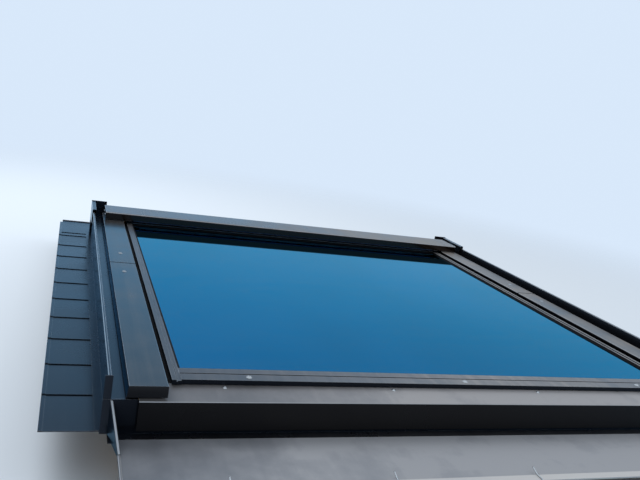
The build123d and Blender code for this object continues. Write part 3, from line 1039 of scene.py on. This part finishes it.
@dataclass
class SideCovers:
    """The covers over the sides of the frame, with a screw at each side of the split.

    Attributes:
        above: How far above the split the upper screw is.
        below: How far below it the lower screw is.
        screw: The screw.
    """

    above: float = 0.080
    below: float = 0.072
    screw: PanScrew = PanScrew(head=0.0036, height=0.0016, washer=0.0048, seat=0.0005)

    def build(self, nodes: dict[str, bpy.types.Object]) -> None:
        """Dresses the covers and adds their screws.

        Args:
            nodes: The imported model's nodes.
        """
        dress(nodes, sides("lower_cover") + sides("upper_cover"), COVER_SHEET)
        dress(nodes, ["cover_clips"], BLACK_PLASTIC)
        low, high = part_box("upper_cover_right")
        middle = (low.x + high.x) / 2
        steps = (self.above, -self.below)
        places = [(side * middle, low.y + step, high.z) for side in (-1, 1) for step in steps]
        piece("side_cover_screws", Shell.joined(self.screw.set_at(places)), DULL_STEEL)


@dataclass
class SashCladding:
    """The stepped cladding round the glass, screwed down along its lower edge.

    Attributes:
        screw_reach: How far from the middle the outer screws are.
        screw_setback: How far the screws are from the lower edge.
        screw: The screw.
    """

    screw_reach: float = 0.397
    screw_setback: float = 0.0115
    screw: PanScrew = PanScrew(head=0.0034, height=0.0018, washer=0.0047, seat=0.0005)

    def build(self, nodes: dict[str, bpy.types.Object]) -> None:
        """Dresses the cladding and adds its screws.

        Args:
            nodes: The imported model's nodes.
        """
        dress(nodes, sides("sash_cladding") + ["sash_cladding_top", "sash_cladding_bottom"], SASH_SHEET)
        low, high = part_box("sash_cladding_bottom")
        places = [(step * self.screw_reach, low.y + self.screw_setback, high.z) for step in (-1, 0, 1)]
        piece("sash_cladding_screws", Shell.joined(self.screw.set_at(places)), BRIGHT_STEEL)


@dataclass
class LowerFrameCover:
    """The cover over the bottom of the frame.

    Attributes:
        inner_reach: How far from the middle the inner screws are.
        outer_reach: How far from the middle the outer screws are.
        front_level: Height of the cover's top at its front edge.
        fall: How far the top falls from its back edge to its front edge.
        depth: How far those edges are apart.
        setback: How far the row of screws is from the front edge.
        screw: The screw.
    """

    inner_reach: float = 0.148
    outer_reach: float = 0.438
    front_level: float = 0.129
    fall: float = 0.006
    depth: float = 0.0495
    setback: float = 0.040
    screw: PanScrew = PanScrew(head=0.0027, height=0.0010, washer=0.0036, seat=0.0003, slot=0.0009,
                               reach=0.0016)

    def build(self, nodes: dict[str, bpy.types.Object]) -> None:
        """Dresses the cover and adds its screws.

        Args:
            nodes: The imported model's nodes.
        """
        dress(nodes, ["lower_frame_cover"], LOWER_SHEET)
        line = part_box("lower_frame_cover")[0].y + self.setback
        level = self.front_level + self.fall * self.setback / self.depth
        reaches = (self.inner_reach, self.outer_reach)
        places = [(side * reach, line, level) for side in (-1, 1) for reach in reaches]
        screws = self.screw.set_at(places, Facing.LEANING)
        piece("lower_cover_screws", Shell.joined(screws), BRIGHT_STEEL)


@dataclass
class Hood:
    """The hood over the top of the frame, and the ventilation flap under it.

    Attributes:
        screw_rows: How far behind the front edge each end screw is.
        screw_drop: How far below the top the end screws are.
        screw: The screw.
    """

    screw_rows: tuple[float, float] = (0.022, 0.072)
    screw_drop: float = 0.012
    screw: PanScrew = PanScrew(head=0.0030, height=0.0014, washer=0.0038, seat=0.0004, slot=0.001,
                               reach=0.0018)

    def build(self, nodes: dict[str, bpy.types.Object]) -> None:
        """Dresses the hood and adds the screws in its ends.

        Args:
            nodes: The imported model's nodes.
        """
        dress(nodes, ["hood", "hood_ends"], HOOD_SHEET)
        dress(nodes, ["ventilation_flap"], ANODISED)
        low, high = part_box("hood_ends")
        screws = []
        for side, facing in ((high.x, Facing.RIGHT), (low.x, Facing.LEFT)):
            places = [(side, low.y + row, high.z - self.screw_drop) for row in self.screw_rows]
            screws += self.screw.set_at(places, facing)
        piece("hood_end_screws", Shell.joined(screws), DULL_STEEL)


@dataclass
class Flashing:
    """The gutters, corner pieces, soakers, apron and top flashing, and the hooks that hold the apron.

    Attributes:
        wire: Radius of the hooks' wire.
        turn: Radius of the wire's bends.
        lift: How far the tip of each hook rises.
        grip: How far the tip reaches from the apron's edge.
        level: The share of the tip that stays level before it rises.
        shortening: How far the wire ends before the solid hook does.
    """

    wire: float = 0.00125
    turn: float = 0.0017
    lift: float = 0.0055
    grip: float = 0.026
    level: float = 0.4
    shortening: float = 0.001

    def build(self, nodes: dict[str, bpy.types.Object]) -> None:
        """Dresses the flashing and makes the round hooks.

        Args:
            nodes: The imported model's nodes.
        """
        folded = sides("side_gutter") + sides("lower_corner") + sides("upper_corner")
        dress(nodes, folded + sides("soakers") + ["bottom_flashing", "top_flashing"], FLASHING_SHEET)
        dress(nodes, ["apron"], APRON_SHEET)
        dress(nodes, ["apron_hooks"], BRIGHT_STEEL)
        hooks = nodes["apron_hooks"]
        points = np.empty(len(hooks.data.vertices) * 3)
        hooks.data.vertices.foreach_get("co", points)
        places = np.unique(np.round(points.reshape(-1, 3)[:, 0], 5))
        middles = (places[0::2] + places[1::2]) / 2
        model = self.hook(*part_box("apron_hooks"))
        shells = [Shell(model.points + np.array([middle, 0.0, 0.0]), model.faces) for middle in middles]
        made = piece("round_apron_hooks", Shell.joined(shells), BRIGHT_STEEL)
        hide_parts("apron_hooks")

    def hook(self, low: Vector, high: Vector) -> Shell:
        """A round wire carried along its route, which lies in the plane X = 0.

        The ring at each place of the route is centre + r (cos t x + sin t n), where n is the route's
        direction turned a quarter round X.

        Args:
            low: The lowest corner of the solid hooks.
            high: Their highest corner.

        Returns:
            The hook's shell, with both ends closed.
        """
        bottom, top, front = low.z + self.wire, high.z - self.wire, low.y + self.wire
        quarter = np.linspace(0.0, np.pi / 2, 7)
        sine, cosine = self.turn * (1 - np.sin(quarter)), self.turn * (1 - np.cos(quarter))
        lower = np.stack([front + sine, bottom + cosine], axis=1)
        upper = np.stack([front + cosine, top - sine], axis=1)
        share = np.linspace(0.1, 1.0, 14)
        rise = smooth_step(share - self.level)
        tip = np.stack([front + self.turn + self.grip * share, top + self.lift * rise / rise[-1]], axis=1)
        route = np.concatenate([[[high.y - self.shortening, bottom]], lower, upper, tip])
        way = np.gradient(route, axis=0)
        way /= np.linalg.norm(way, axis=1, keepdims=True)
        radius = np.concatenate([[0.0], np.full(len(route), self.wire), [0.0]])
        centre = np.concatenate([route[:1], route, route[-1:]])
        normal = np.concatenate([way[:1], way, way[-1:]]) @ np.array([[0.0, 1.0], [-1.0, 0.0]])
        angle = ring(WIRE_SEGMENTS)
        x = radius[:, None] * np.cos(angle)
        y = centre[:, :1] + radius[:, None] * np.sin(angle) * normal[:, :1]
        z = centre[:, 1:] + radius[:, None] * np.sin(angle) * normal[:, 1:]
        return grid(np.stack([x, y, z], axis=-1))


@dataclass
class RoomFittings:
    """What a hand or a screwdriver meets from the room side and from the roof space.

    Attributes:
        cap_length: How far the control bar's end caps stand out.
        cap_skirt: How far a cap reaches back over the bar, as a share of that.
        cap_wall: How much larger a cap is than the bar, all round.
        bracket_rows: Where the screws of a bracket lie, from its middle up the slope.
        bracket_level: Height of the screws of the brackets.
        bracket_middle: How far a bracket's middle is from its end.
        bracket_sheet: Thickness of the brackets.
        bracket_screw: The screw that holds them.
        knob_outline: Rows of radius and height of a cleaning bolt's knob.
        knob_inset: How far a knob's foot is from the bolt's end.
    """

    cap_length: float = 0.007
    cap_skirt: float = 0.6
    cap_wall: float = 0.0006
    bracket_rows: tuple[float, ...] = (-0.024, 0.0, 0.024)
    bracket_level: float = 0.047
    bracket_middle: float = 0.035
    bracket_sheet: float = 0.003
    bracket_screw: PanScrew = PanScrew(washer=0.0052, seat=0.0006)
    knob_outline: tuple[tuple[float, float], ...] = (
        (0.0, 0.0125), (0.003, 0.0123), (0.0044, 0.011), (0.0046, 0.0095), (0.0036, 0.0075),
        (0.0022, 0.005), (0.0020, 0.002), (0.0026, 0.0), (0.0, 0.0),
    )
    knob_inset: float = 0.010

    def build(self, nodes: dict[str, bpy.types.Object]) -> None:
        """Dresses the fittings and adds caps, knobs and screws.

        Args:
            nodes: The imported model's nodes.
        """
        dress(nodes, ["control_bar"], ANODISED)
        dress(nodes, ["bar_brackets"], GREY_PLASTIC)
        dress(nodes, ["fixing_brackets", "cleaning_bolts"] + sides("pivot"), ZINC)
        piece("control_bar_caps", self.caps(), GREY_PLASTIC)
        piece("fixing_bracket_screws", Shell.joined(self.bracket_screws()), ZINC)
        piece("cleaning_bolt_knobs", self.knobs(), ZINC)

    def caps(self) -> Shell:
        """Domed caps on the control bar's ends.

        A section at height s of the dome is a superellipse of power 4 with half sizes a c and b c, where
        c is the square root of cos(s pi / 2), and it stands L sin(s pi / 2) out.

        Returns:
            Both caps' shell.
        """
        low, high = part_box("control_bar")
        middle = np.array([0.0, (low.y + high.y) / 2, (low.z + high.z) / 2])
        half_y, half_z = (high.y - low.y) / 2 + self.cap_wall, (high.z - low.z) / 2 + self.cap_wall
        rise = np.concatenate([[-self.cap_skirt, -self.cap_skirt], np.linspace(0.0, 1.0, 12)])
        spread = np.concatenate([[0.0, 1.0], np.sqrt(np.cos(rise[2:] * np.pi / 2))])
        out = np.concatenate([rise[:2] * self.cap_length, self.cap_length * np.sin(rise[2:] * np.pi / 2)])
        angle = ring(CAP_SEGMENTS)
        around = [np.sign(wave) * np.abs(wave) ** 0.5 for wave in (np.cos(angle), np.sin(angle))]
        shells = []
        for side in (-1, 1):
            x = np.broadcast_to(side * (high.x + out[:, None]), (len(out), angle.size))
            y = middle[1] + spread[:, None] * half_y * around[0]
            z = middle[2] + spread[:, None] * half_z * around[1]
            shells.append(grid(np.stack([x, y, z], axis=-1)))
        return Shell.joined(shells)

    def bracket_screws(self) -> list[Shell]:
        """Screws that hold the fixing brackets to the frame.

        Returns:
            One shell for each screw.
        """
        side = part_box("frame_right")[1].x + self.bracket_sheet
        low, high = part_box("fixing_brackets")
        middles = (low.y + self.bracket_middle, high.y - self.bracket_middle)
        rows = [middle + row for middle in middles for row in self.bracket_rows]
        screws = []
        for reach, facing in ((side, Facing.RIGHT), (-side, Facing.LEFT)):
            places = [(reach, row, self.bracket_level) for row in rows]
            screws += self.bracket_screw.set_at(places, facing)
        return screws

    def knobs(self) -> Shell:
        """Turned knobs on the cleaning bolts, from a waisted outline.

        Returns:
            Both knobs' shell.
        """
        low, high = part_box("cleaning_bolts")
        knob = revolved(np.array(self.knob_outline), KNOB_SEGMENTS)
        middle = ((low.y + high.y) / 2, (low.z + high.z) / 2)
        inner = high.x - self.knob_inset
        ends = ((-inner, Facing.RIGHT), (inner, Facing.LEFT))
        return Shell.joined([knob.placed((end, *middle), facing) for end, facing in ends])


# Studio


@dataclass
class Softbox:
    """One large soft lamp.

    Attributes:
        name: The lamp's name.
        position: Where it stands.
        size: The length of its sides.
        power: Its power in watts.
    """

    name: str
    position: Place
    size: tuple[float, float]
    power: float

    def build(self, target: Vector) -> None:
        """Adds the lamp, turned to the target, and leaves the backdrop alone to show in glass and metal.

        Args:
            target: What it points at.
        """
        lamp = bpy.data.lights.new(self.name, "AREA")
        lamp.shape = "RECTANGLE"
        lamp.size, lamp.size_y = self.size
        lamp.energy = self.power
        placed = bpy.data.objects.new(self.name, lamp)
        placed.location = self.position
        placed.rotation_euler = (target - placed.location).to_track_quat("-Z", "Y").to_euler()
        placed.visible_glossy = False
        bpy.context.scene.collection.objects.link(placed)


@dataclass
class Studio:
    """The floor, the backdrop's light, the lamps and the camera.

    Attributes:
        floor_rings: Radii of the floor's rings.
        floor_level: Height of the floor.
        floor_colour: The floor's colour.
        floor_fade: How far out the floor starts to thin, and where it is gone.
        pale: The backdrop's colour.
        room: The colour of the light that the world gives.
        room_strength: How strong that light is.
        lamps: The soft lamps.
        target: What the lamps point at.
        eye: Where the camera stands.
        right: The camera's own X axis.
        up: Its own Y axis.
        back: Its own Z axis.
        lens: Its focal length in millimetres.
        sensor: The width of its sensor in millimetres.
        nearest: How near to it the view starts.
    """

    floor_rings: tuple[float, ...] = (0.0, 1.0, 2.0, 4.0, 9.0)
    floor_level: float = -0.0005
    floor_colour: Colour = (0.67, 0.75, 0.84)
    floor_fade: tuple[float, float] = (1.25, 3.4)
    pale: Colour = (0.69, 0.81, 0.96)
    room: Colour = (0.96, 0.98, 1.0)
    room_strength: float = 0.54
    lamps: list[Softbox] = field(default_factory=lambda: [
        Softbox("key_lamp", (-1.6, 1.9, 3.0), (2.6, 2.0), 90.0),
        Softbox("fill_lamp", (2.6, -0.8, 2.4), (2.0, 2.0), 22.0),
    ])
    target: Place = (0.0, 0.0, 0.1)
    eye: Place = (-0.6937, -1.5179, 0.587)
    right: Place = (0.93182, -0.32166, 0.16813)
    up: Place = (-0.08997, 0.24407, 0.96558)
    back: Place = (-0.35162, -0.91489, 0.19849)
    lens: float = 38.67
    sensor: float = 36.0
    nearest: float = 0.01

    def build(self) -> None:
        """Builds the whole studio."""
        self.build_floor()
        self.build_world()
        for lamp in self.lamps:
            lamp.build(Vector(self.target))
        self.build_camera()
        bpy.context.scene.view_settings.view_transform = "Standard"

    def build_floor(self) -> None:
        """Adds a round floor just under the window that thins out into the backdrop."""
        rings = np.array([(radius, self.floor_level) for radius in self.floor_rings])
        shell = revolved(rings, FLOOR_SEGMENTS)
        mesh = bpy.data.meshes.new("studio_floor")
        mesh.from_pydata(shell.points.tolist(), [], shell.faces.tolist())
        graph = Graph("studio_floor")
        length = graph.node("ShaderNodeVectorMath", {0: graph.place}, operation="LENGTH").outputs["Value"]
        clear = graph.node("ShaderNodeBsdfTransparent")
        graph.share_surface(graph.ramp(length, *self.floor_fade), clear.outputs[0])
        graph.set(graph.shader, {
            "Base Color": self.floor_colour,
            "Roughness": 0.9,
            "Specular IOR Level": 0.0,
        })
        mesh.materials.append(graph.material)
        floor = bpy.data.objects.new("studio_floor", mesh)
        bpy.context.scene.collection.objects.link(floor)

    def build_world(self) -> None:
        """Sets a pale backdrop that is seen, mirrored and looked through, and a softer light for the rest."""
        world = bpy.data.worlds.new("studio")
        bpy.context.scene.world = world
        world.use_nodes = True
        tree = world.node_tree
        backdrop = tree.nodes["Background"]
        backdrop.inputs["Color"].default_value = (*self.pale, 1.0)
        backdrop.inputs["Strength"].default_value = 1.0
        room = tree.nodes.new("ShaderNodeBackground")
        room.inputs["Color"].default_value = (*self.room, 1.0)
        room.inputs["Strength"].default_value = self.room_strength
        path = tree.nodes.new("ShaderNodeLightPath")
        shown = path.outputs["Is Camera Ray"]
        for ray in ("Is Glossy Ray", "Is Transmission Ray"):
            either = tree.nodes.new("ShaderNodeMath")
            either.operation = "MAXIMUM"
            tree.links.new(shown, either.inputs[0])
            tree.links.new(path.outputs[ray], either.inputs[1])
            shown = either.outputs[0]
        mix = tree.nodes.new("ShaderNodeMixShader")
        for index, socket in enumerate((shown, room.outputs[0], backdrop.outputs[0])):
            tree.links.new(socket, mix.inputs[index])
        tree.links.new(mix.outputs[0], tree.nodes["World Output"].inputs["Surface"])

    def build_camera(self) -> None:
        """Stands the camera where the photograph was taken."""
        lens = bpy.data.cameras.new("photo_view")
        lens.lens = self.lens
        lens.sensor_width = self.sensor
        lens.clip_start = self.nearest
        camera = bpy.data.objects.new("photo_view", lens)
        axes = Matrix((self.right, self.up, self.back)).transposed()
        camera.matrix_world = Matrix.Translation(self.eye) @ axes.to_4x4()
        bpy.context.scene.collection.objects.link(camera)
        bpy.context.scene.camera = camera


def main() -> None:
    """Builds the pieces in order."""
    logging.basicConfig(level=logging.INFO, format="%(name)s: %(message)s")
    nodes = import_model()["nodes"]
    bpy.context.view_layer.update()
    for assembly in (TimberWork(), Glazing(), SideCovers(), SashCladding(), LowerFrameCover(), Hood(),
                     Flashing(), RoomFittings()):
        assembly.build(nodes)
        LOG.info("%s is built", type(assembly).__name__)
    Studio().build()


if __name__ == "__main__":
    main()
